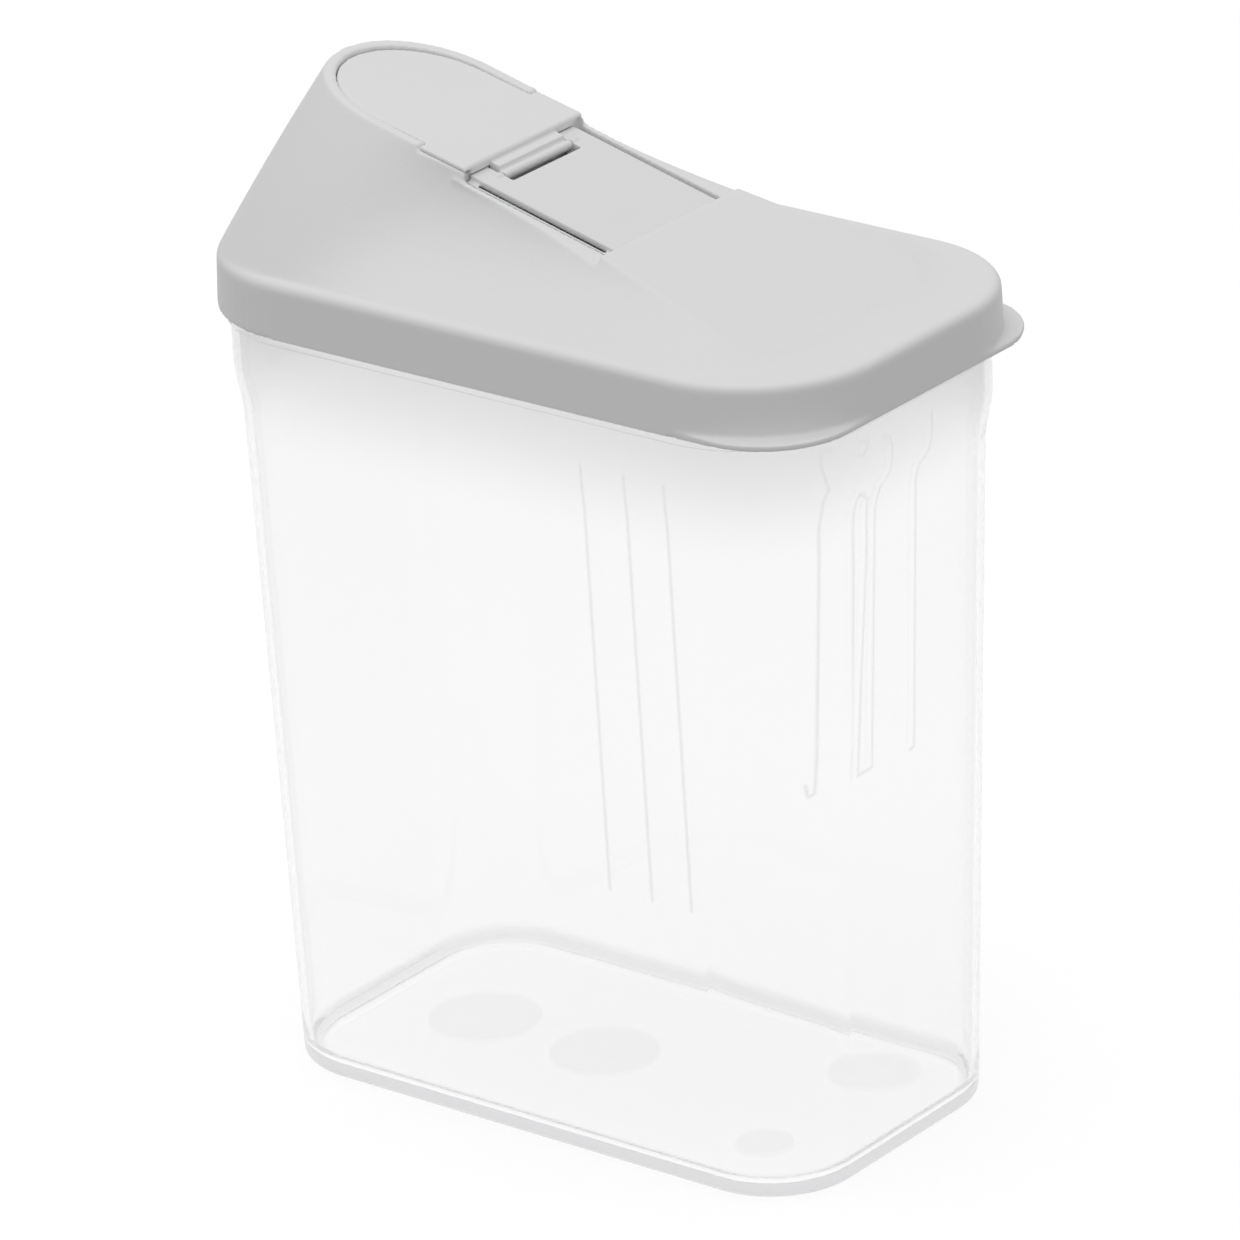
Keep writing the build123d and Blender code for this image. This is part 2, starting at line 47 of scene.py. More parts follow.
# %% [markdown]
# The hinge pin keeps its mesh from the construction model, which is made of flat facets. The real pin is
# smooth except at the rims of its ends, so its faces are shaded smooth, and an edge stays sharp only where
# two faces meet at more than a small angle. Bending the normals costs nothing and leaves the shape alone.

# %% Smooth shading of the pin
EDGE_ANGLE = math.radians(24)


def shade_by_angle(piece):
    """shades a mesh smooth, and marks each edge sharp where its faces meet at more than EDGE_ANGLE"""
    mesh = piece.data
    mesh.shade_smooth()
    mesh.set_sharp_from_angle(angle=EDGE_ANGLE)


shade_by_angle(nodes["hinge_pin"])
print("pin shaded")

# %% [markdown]
# No edge of a moulding is sharp: the steel of the mould is rounded by a few tenths of a millimetre, so that
# the plastic flows and lets go, and on this lid the edges are softer still. Each rounded edge catches a thin
# line of light, which is what makes a moulding look real.
# Bevels are hard to lay along the curved edges where the tower, the recess and the skirt meet. So a copy of
# the piece is cut into even small cells and relaxed a few steps, which rounds every edge by about the same
# amount and leaves the broad faces where they were.
# Where two pieces lie close together, the edges on both sides of the joint stay crisp, as on the real lid.
# Rounded there, the joint would open into a wide dark groove.

# %% Copies with rounded edges
FLAP_REAR_X = -0.0232           # where the top face of the flap ends toward its hinge
FLAP_REAR_TOP = 0.2404          # its height there
FLAP_SLOPE = 0.231              # its rise for each metre toward the spout
FLAP_EDGE_DEPTH = 0.0007        # how far below its top face the flap's edges are rounded
SEAT_X = (-0.0385, -0.0215)     # the flap's seat in the lid, under the full-width rear part of the flap
SEAT_INNER_Y = 0.0195
SEAT_DEPTH = 0.004
RELAX_SHARE = 0.5               # of the way to the middle of its neighbours that a point moves in a round


def depth_under_flap(point):
    """how far a point lies below the plane of the flap's top face"""
    return FLAP_REAR_TOP - FLAP_SLOPE * (point.x - FLAP_REAR_X) - point.z


def crisp_on_flap(point):
    """true for the underside of the flap and its lower edges"""
    return depth_under_flap(point) > FLAP_EDGE_DEPTH


def crisp_on_lid(point):
    """true for the lid's seat under the flap's full-width rear part, and for the pocket's corner behind it"""
    return (SEAT_X[0] < point.x < SEAT_X[1] and abs(point.y) > SEAT_INNER_Y
            and depth_under_flap(point) < SEAT_DEPTH)


def crisp_nowhere(point):
    """true for no point"""
    return False


def settle(piece):
    """makes what the modifiers show into the piece's own mesh"""
    graph = bpy.context.evaluated_depsgraph_get()
    mesh = bpy.data.meshes.new_from_object(piece.evaluated_get(graph), depsgraph=graph)
    piece.modifiers.clear()
    piece.data = mesh
    return mesh


def rounded_copy(node_name, body, cell, rounds, crisp):
    """a copy of a piece with its edges rounded, apart from the crisp places, which takes the piece's place"""
    piece = bpy.data.objects.new(node_name + "_moulding", nodes[node_name].data.copy())
    bpy.context.scene.collection.objects.link(piece)
    cells = piece.modifiers.new("even cells", "REMESH")
    cells.mode = "VOXEL"
    cells.voxel_size = cell
    settle(piece)
    kept = piece.vertex_groups.new(name="crisp")
    kept.add([vertex.index for vertex in piece.data.vertices if crisp(vertex.co)], 1.0, "REPLACE")
    relax = piece.modifiers.new("relaxed edges", "SMOOTH")
    relax.factor = RELAX_SHARE
    relax.iterations = rounds
    relax.vertex_group = kept.name
    relax.invert_vertex_group = True
    rounded = settle(piece)
    rounded.shade_smooth()
    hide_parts(node_name)
    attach(piece, body)
    print(piece.name, "faces:", len(rounded.polygons))
    return piece


lid = rounded_copy("lid", "lid_body", cell=0.0005, rounds=6, crisp=crisp_on_lid)
flap = rounded_copy("flap", "flap_body", cell=0.0003, rounds=5, crisp=crisp_on_flap)
hinge_plate = rounded_copy("hinge_plate", "lid_body", cell=0.00025, rounds=3,
                           crisp=crisp_nowhere)

# %% [markdown]
# The tub is clear, so its facets matter far more than those of a white piece: each flat facet bends the
# light its own way, and the edges of the tub turn ragged. So the tub is drawn again from its own sizes, as
# rounded rectangles one above the other. Each has the same number of points, so that the inside and the
# outside of the wall follow each other and the light passes evenly.
# The fine lines on the walls are raised with a soft round back. Their routes are the ones that the
# photographed tub shows, with small hooks near the rim.

# %% Sizes of the tub
BASE_SIZE = (0.0820, 0.0458, 0.0230)    # half length, half width and corner radius at the base
NECK_SIZE = (0.0906, 0.0527, 0.0308)    # the same at the neck
DRAFT = math.tan(math.radians(1.95))    # how far the walls lean out for each metre of height
WALL = 0.0019
BASE_THICKNESS = 0.0028
FOOT_ROUND = 0.0024                     # outside, where base and wall meet
INNER_ROUND = 0.0042                    # inside, where base and wall meet
FLARE = (0.173, 0.187)                  # heights where the wall starts to flare and where it ends
BEAD = (0.1978, 0.1996)                 # heights of the underside and the top of the bead round the neck
BEAD_REACH = 0.0013
EDGE_ROUND = 0.0003
RIM_TOP = 0.2121

# Raised lines are painted darker with a share of 1. The two roundings of the foot get some of it,
# a painted shade where the eye looks along the plastic.
FOOT_DARKENING = 0.25
INNER_DARKENING = 0.9
LINE_HALF_WIDTH = 0.00085
LINE_PROUD = 0.00010

# Along the wall and up: x and height of each line on the front wall, y and height of each on the end wall.
FRONT_ROUTES = (((0.0315, 0.0752), (0.0315, 0.186)), ((0.0442, 0.0752), (0.0442, 0.186)),
                ((0.0560, 0.0752), (0.0560, 0.186)))
END_ROUTES = (
    ((-0.0363, 0.1095), (-0.0357, 0.1065), (-0.0341, 0.1070), (-0.0336, 0.1160), (-0.0329, 0.1670),
     (-0.0332, 0.1826), (-0.0320, 0.1850), (-0.0337, 0.1901), (-0.0342, 0.1944), (-0.0311, 0.1953)),
    ((-0.0226, 0.1070), (-0.0217, 0.1574), (-0.0219, 0.1786), (-0.0209, 0.1798), (-0.0189, 0.1793),
     (-0.0167, 0.1770), (-0.0165, 0.1640), (-0.0188, 0.1323), (-0.0202, 0.1070), (-0.0145, 0.1072)),
    ((-0.0145, 0.1072), (-0.0134, 0.1665), (-0.0131, 0.1741), (-0.0123, 0.1791), (-0.0096, 0.1822),
     (-0.0090, 0.1886), (-0.0098, 0.1910), (-0.0128, 0.1923)),
    ((0.0010, 0.1060), (0.0026, 0.1062), (0.0032, 0.1726), (0.0028, 0.1790), (0.0060, 0.1822),
     (0.0067, 0.1862), (0.0073, 0.1920)),
    ((-0.0226, 0.1909), (-0.0208, 0.1900), (-0.0189, 0.1914), (-0.0185, 0.1931), (-0.0220, 0.1940)))


def tub_size(height):
    """half length, half width and corner radius of the tub's outside at a height"""
    way = min(max((height - FLARE[0]) / (FLARE[1] - FLARE[0]), 0.0), 1.0)
    share = way * way * (3 - 2 * way)
    return [at_base + height * DRAFT + share * (at_neck - at_base - height * DRAFT)
            for at_base, at_neck in zip(BASE_SIZE, NECK_SIZE)]


def steps(start, end, count):
    """evenly spaced values, both ends included"""
    return [start + (end - start) * step / count for step in range(count + 1)]


# %% The tub's wall from the middle of the base, up the outside and down the inside
BASE_INSETS = (0.0225, 0.012)           # how far in from the foot the rings on the flat of the base lie
FOOT_STEPS = 8                          # round the two roundings of the foot
EDGE_STEPS = 3                          # round the small edges of the bead and the rim

# First height, last height and number of steps of each band of rings. The rings lie closest where the raised
# lines end or bend and where the wall flares.
OUTER_BANDS = ((0.004, 0.072, 14), (0.0735, 0.0770, 8), (0.080, 0.102, 4), (0.1045, 0.1105, 14),
               (0.114, 0.170, 16), (0.1715, 0.1970, 48))
INNER_BANDS = ((0.205, 0.1885, 3), (FLARE[1], FLARE[0], 24), (0.168, 0.012, 20))


def heights_of(bands):
    """the heights of all the rings in the bands, in their order"""
    return [height for band in bands for height in steps(*band)]


def tub_rings():
    """inset, height and share of painted darkening of each ring of the tub's wall"""
    rings = [(inset, 0.0, 0.0) for inset in BASE_INSETS]
    for angle in steps(0.0, math.pi / 2, FOOT_STEPS):
        rings.append((FOOT_ROUND * (1 - math.sin(angle)), FOOT_ROUND * (1 - math.cos(angle)),
                      FOOT_DARKENING * math.sin(2 * angle)))
    rings += [(0.0, height, 0.0) for height in heights_of(OUTER_BANDS)]
    for at_height, turn in ((BEAD[0], 1), (BEAD[1], -1)):
        corner = [(0.0, at_height, 0.0)]
        corner += [(EDGE_ROUND * (1 - math.sin(angle)) - BEAD_REACH,
                    at_height + turn * EDGE_ROUND * (1 - math.cos(angle)), 0.0)
                   for angle in steps(0.0, math.pi / 2, EDGE_STEPS)]
        rings += corner[::turn]
    outer_top = [(EDGE_ROUND * (1 - math.cos(angle)), RIM_TOP - EDGE_ROUND * (1 - math.sin(angle)), 0.0)
                 for angle in steps(0.0, math.pi / 2, EDGE_STEPS)]
    rings += outer_top + [(WALL - inset, height, darkening) for inset, height, darkening in reversed(outer_top)]
    rings += [(WALL, height, 0.0) for height in heights_of(INNER_BANDS)]
    for angle in steps(math.pi / 2, 0.0, FOOT_STEPS):
        rings.append((WALL + INNER_ROUND * (1 - math.sin(angle)),
                      BASE_THICKNESS + INNER_ROUND * (1 - math.cos(angle)),
                      INNER_DARKENING * math.sin(2 * angle)))
    rings += [(inset, BASE_THICKNESS, 0.0) for inset in reversed(BASE_INSETS)]
    return rings


# %% The points round each ring
LINE_STEP = 0.00012             # between the points that cross a raised line of the front wall
LINE_STEPS = 8                  # on each side of the middle of the line
CLEAR_OF_LINE = 0.0005          # the coarser points of the front wall keep this far from those points
LONG_SIDE_STEPS = 20
SPOUT_END_STEPS = 8
CORNER_STEPS = 30
NEAR_CORNER_STEPS = 160         # the raised lines of the end wall reach round the near corner
END_LINES_TO = 0.0100           # the y up to which the end wall has raised lines
END_LINE_STEPS = 130
END_PLAIN_FROM = 0.0125
END_PLAIN_STEPS = 4


def inside_corner(first, last, count):
    """angles from first to last, in degrees, without these two, which belong to the straight sides"""
    return [math.radians(angle) for angle in steps(first, last, count)[1:-1]]


def tub_stations():
    """the places round a ring: side or corner, and where along it"""
    half_straight_x, half_straight_y = (min(size[side] - size[2] for size in (BASE_SIZE, NECK_SIZE))
                                        for side in (0, 1))
    coarse_x = steps(-half_straight_x, half_straight_x, LONG_SIDE_STEPS)
    line_x = [place + step * LINE_STEP for (place, _), _ in FRONT_ROUTES
              for step in range(-LINE_STEPS, LINE_STEPS + 1)]
    between_x = [x for x in coarse_x if min(abs(x - line) for line in line_x) > CLEAR_OF_LINE]
    front_x = sorted({round(x, 6) for x in line_x + between_x})
    end_y = steps(-half_straight_y, END_LINES_TO, END_LINE_STEPS)
    end_y += steps(END_PLAIN_FROM, half_straight_y, END_PLAIN_STEPS)

    stations = [("front", x) for x in front_x]
    stations += [("near corner", angle) for angle in inside_corner(-90, 0, NEAR_CORNER_STEPS)]
    stations += [("end", y) for y in end_y]
    stations += [("far corner", angle) for angle in inside_corner(0, 90, CORNER_STEPS)]
    stations += [("back", x) for x in reversed(coarse_x)]
    stations += [("far spout corner", angle) for angle in inside_corner(90, 180, CORNER_STEPS)]
    stations += [("spout end", y) for y in steps(half_straight_y, -half_straight_y, SPOUT_END_STEPS)]
    stations += [("near spout corner", angle) for angle in inside_corner(180, 270, CORNER_STEPS)]
    return stations


CORNER_SIGNS = {"near corner": (1, -1), "far corner": (1, 1), "far spout corner": (-1, 1),
                "near spout corner": (-1, -1)}


def place_and_way(station, half_length, half_width, corner):
    """a point on a rounded rectangle, and the way that points straight out of it"""
    side, along = station
    if side == "front":
        return (along, -half_width), (0.0, -1.0)
    if side == "back":
        return (along, half_width), (0.0, 1.0)
    if side == "end":
        return (half_length, along), (1.0, 0.0)
    if side == "spout end":
        return (-half_length, along), (-1.0, 0.0)
    sign_x, sign_y = CORNER_SIGNS[side]
    way = (math.cos(along), math.sin(along))
    centre = (sign_x * (half_length - corner), sign_y * (half_width - corner))
    return (centre[0] + corner * way[0], centre[1] + corner * way[1]), way


def line_share(across, height, routes):
    """1 on the middle of a raised line, falling to 0 at its sides"""
    nearest = LINE_HALF_WIDTH
    for route in routes:
        for (a0, h0), (a1, h1) in zip(route, route[1:]):
            if not min(h0, h1) - nearest < height < max(h0, h1) + nearest:
                continue
            squared = (a1 - a0) ** 2 + (h1 - h0) ** 2
            way = min(max(((across - a0) * (a1 - a0) + (height - h0) * (h1 - h0)) / squared, 0.0), 1.0)
            nearest = min(nearest, math.hypot(across - a0 - way * (a1 - a0), height - h0 - way * (h1 - h0)))
    return math.cos(math.pi / 2 * nearest / LINE_HALF_WIDTH) ** 2


# %% The tub as one closed mesh
def clear_tub():
    """the container, drawn as rings of points, which takes the place of the construction model's mesh"""
    rings = tub_rings()
    stations = tub_stations()
    # Each point keeps its share of painted shade, for the raised lines and the roundings of the foot.
    points, darkening_shares = [], []
    for inset, height, darkening in rings:
        half_length, half_width, corner = (size - inset for size in tub_size(height))
        for station in stations:
            (x, y), way = place_and_way(station, half_length, half_width, corner)
            share = 0.0
            if inset == 0.0 and station[0] == "front":
                share = line_share(x, height, FRONT_ROUTES)
            elif inset == 0.0 and station[0] in ("near corner", "end"):
                share = line_share(y, height, END_ROUTES)
            points.append((x + way[0] * LINE_PROUD * share, y + way[1] * LINE_PROUD * share, height))
            darkening_shares.append(max(share, darkening))
    count = len(stations)
    faces = [tuple(reversed(range(count)))]
    for ring in range(len(rings) - 1):
        for at in range(count):
            after = (at + 1) % count
            faces.append((ring * count + at, ring * count + after, (ring + 1) * count + after,
                          (ring + 1) * count + at))
    faces.append(tuple(range((len(rings) - 1) * count, len(rings) * count)))
    mesh = bpy.data.meshes.new("container_moulding")
    mesh.from_pydata(points, [], faces)
    mesh.shade_smooth()
    mesh.attributes.new("darkening", "FLOAT", "POINT").data.foreach_set("value", darkening_shares)
    tub = bpy.data.objects.new("container_moulding", mesh)
    bpy.context.scene.collection.objects.link(tub)
    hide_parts("container")
    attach(tub, "container_body")
    print(tub.name, "faces:", len(faces))
    return tub


container = clear_tub()

# %% [markdown]
# The lid, the flap and the hinge plate are moulded in a white plastic with a satin face. The steel mould
# was spark eroded, which leaves a fine even grain of about half a millimetre, and the plastic cooled a
# little unevenly, which leaves slow changes of sheen some centimetres wide.
# A picture texture could show this, but two noise textures say it with four numbers and fit any size. They
# are built once as a node group, and each material places it with its own values.

# %% Helpers for node trees
def link(tree, source, target):
    """joins one socket to another"""
    tree.links.new(source, target)


def add_node(tree, kind, **values):
    """adds a shader node and sets its plain properties"""
    node = tree.nodes.new(kind)
    for name, value in values.items():
        setattr(node, name, value)
    return node


# %% The group for a moulded face
def moulded_face_group():
    """a fine spark grain over slow changes of tone and sheen"""
    tree = bpy.data.node_groups.new("moulded face", "ShaderNodeTree")
    sockets = tree.interface
    for name, kind, value in (("Tone", "NodeSocketColor", (0.8, 0.8, 0.8, 1.0)),
                              ("Tone Change", "NodeSocketFloat", 0.02),
                              ("Roughness", "NodeSocketFloat", 0.5),
                              ("Sheen Change", "NodeSocketFloat", 0.06),
                              ("Grain Per Metre", "NodeSocketFloat", 1800.0),
                              ("Cloud Per Metre", "NodeSocketFloat", 30.0)):
        socket = sockets.new_socket(name, in_out="INPUT", socket_type=kind)
        socket.default_value = value
    for name, kind in (("Color", "NodeSocketColor"), ("Roughness", "NodeSocketFloat"),
                       ("Height", "NodeSocketFloat")):
        sockets.new_socket(name, in_out="OUTPUT", socket_type=kind)

    given = add_node(tree, "NodeGroupInput")
    result = add_node(tree, "NodeGroupOutput")
    place = add_node(tree, "ShaderNodeTexCoord")
    grain = add_node(tree, "ShaderNodeTexNoise")
    grain.inputs["Detail"].default_value = 3.0
    cloud = add_node(tree, "ShaderNodeTexNoise")
    cloud.inputs["Detail"].default_value = 2.0
    for noise, scale in ((grain, "Grain Per Metre"), (cloud, "Cloud Per Metre")):
        link(tree, place.outputs["Object"], noise.inputs["Vector"])
        link(tree, given.outputs[scale], noise.inputs["Scale"])

    def swing(source, amount):
        """a value that swings about zero by the amount"""
        centred = add_node(tree, "ShaderNodeMath", operation="SUBTRACT")
        link(tree, source, centred.inputs[0])
        centred.inputs[1].default_value = 0.5
        scaled = add_node(tree, "ShaderNodeMath", operation="MULTIPLY")
        link(tree, centred.outputs[0], scaled.inputs[0])
        link(tree, amount, scaled.inputs[1])
        return scaled.outputs[0]

    both = add_node(tree, "ShaderNodeMath", operation="ADD")
    link(tree, swing(cloud.outputs["Fac"], given.outputs["Tone Change"]), both.inputs[0])
    link(tree, swing(grain.outputs["Fac"], given.outputs["Tone Change"]), both.inputs[1])
    brightness = add_node(tree, "ShaderNodeMath", operation="ADD")
    link(tree, both.outputs[0], brightness.inputs[0])
    brightness.inputs[1].default_value = 1.0
    tone = add_node(tree, "ShaderNodeVectorMath", operation="SCALE")
    link(tree, given.outputs["Tone"], tone.inputs[0])
    link(tree, brightness.outputs[0], tone.inputs["Scale"])
    link(tree, tone.outputs["Vector"], result.inputs["Color"])

    rough = add_node(tree, "ShaderNodeMath", operation="ADD")
    link(tree, given.outputs["Roughness"], rough.inputs[0])
    link(tree, swing(cloud.outputs["Fac"], given.outputs["Sheen Change"]), rough.inputs[1])
    link(tree, rough.outputs[0], result.inputs["Roughness"])
    link(tree, grain.outputs["Fac"], result.inputs["Height"])
    return tree


MOULDED_FACE = moulded_face_group()
print("group:", MOULDED_FACE.name)

# %% The material for a moulded white piece
PLASTIC_IOR = 1.49


def moulded_white(name, tone, roughness, grain_height):
    """satin white plastic with a spark-eroded grain of the given height in metres"""
    material = bpy.data.materials.new(name)
    material.use_nodes = True
    tree = material.node_tree
    shader = tree.nodes["Principled BSDF"]
    face = add_node(tree, "ShaderNodeGroup", node_tree=MOULDED_FACE)
    face.inputs["Tone"].default_value = (*tone, 1.0)
    face.inputs["Roughness"].default_value = roughness
    bump = add_node(tree, "ShaderNodeBump")
    bump.inputs["Distance"].default_value = grain_height
    link(tree, face.outputs["Color"], shader.inputs["Base Color"])
    link(tree, face.outputs["Roughness"], shader.inputs["Roughness"])
    link(tree, face.outputs["Height"], bump.inputs["Height"])
    link(tree, bump.outputs["Normal"], shader.inputs["Normal"])
    shader.inputs["IOR"].default_value = PLASTIC_IOR
    return material


def dress(piece, material):
    """gives a piece one material and no other"""
    if piece.name in nodes:
        for slot in piece.material_slots:
            slot.material = material
    else:
        piece.data.materials.clear()
        piece.data.materials.append(material)


LID_TONE = (0.84, 0.84, 0.845)
PLATE_TONE = (0.82, 0.82, 0.825)
dress(lid, moulded_white("lid plastic", LID_TONE, roughness=0.50, grain_height=0.00003))
dress(flap, moulded_white("flap plastic", LID_TONE, roughness=0.46, grain_height=0.00002))
dress(hinge_plate, moulded_white("hinge plate plastic", PLATE_TONE, roughness=0.48, grain_height=0.00003))
print("white pieces dressed")

# %% [markdown]
# The container is moulded in clear plastic, two millimetres thick. It is almost invisible against a white
# wall: what shows it are its edges, where light passes through much more plastic, and a faint haze.
# A thin see-through colour would lose those edges. The walls here are real, with an inside and an outside
# face, so a shader that bends light as clear plastic does finds the edges by itself. Light from the lamps
# is let straight through, because bent light would need far more samples to reach the inside.
# Toward the neck, under the lid, the wall is painted greyer: painted shade from the lid, over a faint haze.
# The fine raised lines are painted darker, and so is the place where base and wall meet, a painted shade
# because the eye looks along the plastic there. Where the wall turns away from the eye it is painted darker
# too, a painted shade for its edges.
# The marks in the base are so shallow that they show only as faint discs.
# Light that enters the edge of the base runs along inside it, turned back by both faces, until it leaves
# into the white room. After six turns the shader stops following it and gives it the tone of that room, a
# little dimmed.

# %% The group for a clear wall
BASE_MARKS = ((-0.0477, -0.0003, 0.0146), (-0.0101, 0.0, 0.0141),      # x, y and radius
              (0.0530, 0.0265, 0.0108), (0.0538, -0.0203, 0.0076))
EDGE_NARROWNESS = 5.0       # the higher, the closer the dark edge keeps to where the wall turns away


def clear_wall_group():
    """a clear wall's tone: painted shade by the neck, on lines, foot and edges, and discs in the base"""
    tree = bpy.data.node_groups.new("clear wall", "ShaderNodeTree")
    for name, kind, value in (("Tone", "NodeSocketColor", (0.98, 0.98, 0.98, 1.0)),
                              ("Hazy Shaded Neck Tone", "NodeSocketColor", (0.9, 0.9, 0.9, 1.0)),
                              ("Hazy Shaded Neck From", "NodeSocketFloat", 0.165),
                              ("Hazy Shaded Neck To", "NodeSocketFloat", 0.2),
                              ("Darkened Tone", "NodeSocketColor", (0.8, 0.8, 0.8, 1.0)),
                              ("Mark Tone", "NodeSocketColor", (0.9, 0.9, 0.9, 1.0)),
                              ("Facing Away", "NodeSocketFloat", 0.0),
                              ("Edge Tone", "NodeSocketColor", (0.9, 0.9, 0.9, 1.0))):
        socket = tree.interface.new_socket(name, in_out="INPUT", socket_type=kind)
        socket.default_value = value
    tree.interface.new_socket("Color", in_out="OUTPUT", socket_type="NodeSocketColor")
    given = add_node(tree, "NodeGroupInput")
    result = add_node(tree, "NodeGroupOutput")
    place = add_node(tree, "ShaderNodeTexCoord")
    split = add_node(tree, "ShaderNodeSeparateXYZ")
    link(tree, place.outputs["Object"], split.inputs[0])

    def blend(factor, first, second):
        """goes from the first colour to the second"""
        mix = add_node(tree, "ShaderNodeMix", data_type="RGBA")
        link(tree, factor, mix.inputs["Factor"])
        link(tree, first, mix.inputs["A"])
        link(tree, second, mix.inputs["B"])
        return mix.outputs["Result"]

    # Painted shade over a faint haze: the wall turns greyer toward the neck, under the lid.
    hazy_shaded_neck = add_node(tree, "ShaderNodeMapRange", interpolation_type="SMOOTHSTEP")
    link(tree, split.outputs["Z"], hazy_shaded_neck.inputs["Value"])
    link(tree, given.outputs["Hazy Shaded Neck From"], hazy_shaded_neck.inputs["From Min"])
    link(tree, given.outputs["Hazy Shaded Neck To"], hazy_shaded_neck.inputs["From Max"])
    color = blend(hazy_shaded_neck.outputs["Result"], given.outputs["Tone"], given.outputs["Hazy Shaded Neck Tone"])
    # Painted shade: the raised lines and the roundings of the foot are darkened by their share.
    darkening = add_node(tree, "ShaderNodeAttribute", attribute_name="darkening")
    color = blend(darkening.outputs["Fac"], color, given.outputs["Darkened Tone"])
    for x, y, radius in BASE_MARKS:
        away = add_node(tree, "ShaderNodeVectorMath", operation="DISTANCE")
        link(tree, place.outputs["Object"], away.inputs[0])
        away.inputs[1].default_value = (x, y, 0.0)
        disc = add_node(tree, "ShaderNodeMath", operation="LESS_THAN")
        link(tree, away.outputs["Value"], disc.inputs[0])
        disc.inputs[1].default_value = radius
        color = blend(disc.outputs[0], color, given.outputs["Mark Tone"])
    # Painted shade: the wall is darkened where it turns away from the eye, at its edges.
    edge = add_node(tree, "ShaderNodeMath", operation="POWER")
    link(tree, given.outputs["Facing Away"], edge.inputs[0])
    edge.inputs[1].default_value = EDGE_NARROWNESS
    color = blend(edge.outputs[0], color, given.outputs["Edge Tone"])
    link(tree, color, result.inputs["Color"])
    return tree


CLEAR_WALL = clear_wall_group()
print("group:", CLEAR_WALL.name)

# %% The material for the clear container
GUIDED_LIGHT = (0.74, 0.74, 0.75)
TURNS_FOLLOWED = 5.5
STRAIGHT_LIGHT = 0.95       # the share of the light that each face lets straight through


def clear_plastic(name):
    """clear plastic with a faint haze and the slow waves of a moulded wall"""
    material = bpy.data.materials.new(name)
    material.use_nodes = True
    tree = material.node_tree
    shader = tree.nodes["Principled BSDF"]
    shader.inputs["IOR"].default_value = PLASTIC_IOR
    shader.inputs["Transmission Weight"].default_value = 0.985
    wall = add_node(tree, "ShaderNodeGroup", node_tree=CLEAR_WALL)
    wall.inputs["Tone"].default_value = (0.972, 0.972, 0.973, 1.0)
    # painted shade under the lid, over a faint haze
    wall.inputs["Hazy Shaded Neck Tone"].default_value = (0.75, 0.75, 0.755, 1.0)
    wall.inputs["Hazy Shaded Neck From"].default_value = 0.166
    wall.inputs["Hazy Shaded Neck To"].default_value = 0.203
    # painted shade on the raised lines and the foot
    wall.inputs["Darkened Tone"].default_value = (0.72, 0.72, 0.72, 1.0)
    wall.inputs["Mark Tone"].default_value = (0.92, 0.92, 0.92, 1.0)
    # painted shade at the edges, where the wall turns away from the eye
    wall.inputs["Edge Tone"].default_value = (0.55, 0.55, 0.56, 1.0)
    facing = add_node(tree, "ShaderNodeLayerWeight")
    link(tree, facing.outputs["Facing"], wall.inputs["Facing Away"])
    face = add_node(tree, "ShaderNodeGroup", node_tree=MOULDED_FACE)
    face.inputs["Roughness"].default_value = 0.03
    face.inputs["Sheen Change"].default_value = 0.02
    face.inputs["Grain Per Metre"].default_value = 45.0
    face.inputs["Cloud Per Metre"].default_value = 18.0
    bump = add_node(tree, "ShaderNodeBump")
    bump.inputs["Distance"].default_value = 0.00001
    link(tree, wall.outputs["Color"], shader.inputs["Base Color"])
    link(tree, face.outputs["Roughness"], shader.inputs["Roughness"])
    link(tree, face.outputs["Height"], bump.inputs["Height"])
    link(tree, bump.outputs["Normal"], shader.inputs["Normal"])
    path = add_node(tree, "ShaderNodeLightPath")
    open_way = add_node(tree, "ShaderNodeBsdfTransparent")
    open_way.inputs["Color"].default_value = (STRAIGHT_LIGHT, STRAIGHT_LIGHT, STRAIGHT_LIGHT, 1.0)
    trapped = add_node(tree, "ShaderNodeMath", operation="GREATER_THAN")
    link(tree, path.outputs["Ray Depth"], trapped.inputs[0])
    trapped.inputs[1].default_value = TURNS_FOLLOWED
    guided = add_node(tree, "ShaderNodeEmission")
    guided.inputs["Color"].default_value = (*GUIDED_LIGHT, 1.0)
    lit = add_node(tree, "ShaderNodeMixShader")
    link(tree, trapped.outputs[0], lit.inputs["Fac"])
    link(tree, shader.outputs[0], lit.inputs[1])
    link(tree, guided.outputs[0], lit.inputs[2])
    choice = add_node(tree, "ShaderNodeMixShader")
    link(tree, path.outputs["Is Shadow Ray"], choice.inputs["Fac"])
    link(tree, lit.outputs[0], choice.inputs[1])
    link(tree, open_way.outputs[0], choice.inputs[2])
    link(tree, choice.outputs[0], tree.nodes["Material Output"].inputs["Surface"])
    return material


dress(container, clear_plastic("clear plastic"))
print("container dressed")

# %% [markdown]
# The hinge pin is a piece of drawn steel wire. Drawing leaves fine scratches along it, so the noise here is
# stretched along the pin.

# %% The material for the pin
GRAIN_OF_WIRE = (9000.0, 300.0, 9000.0)     # changes of tone for each metre across, along and across the pin


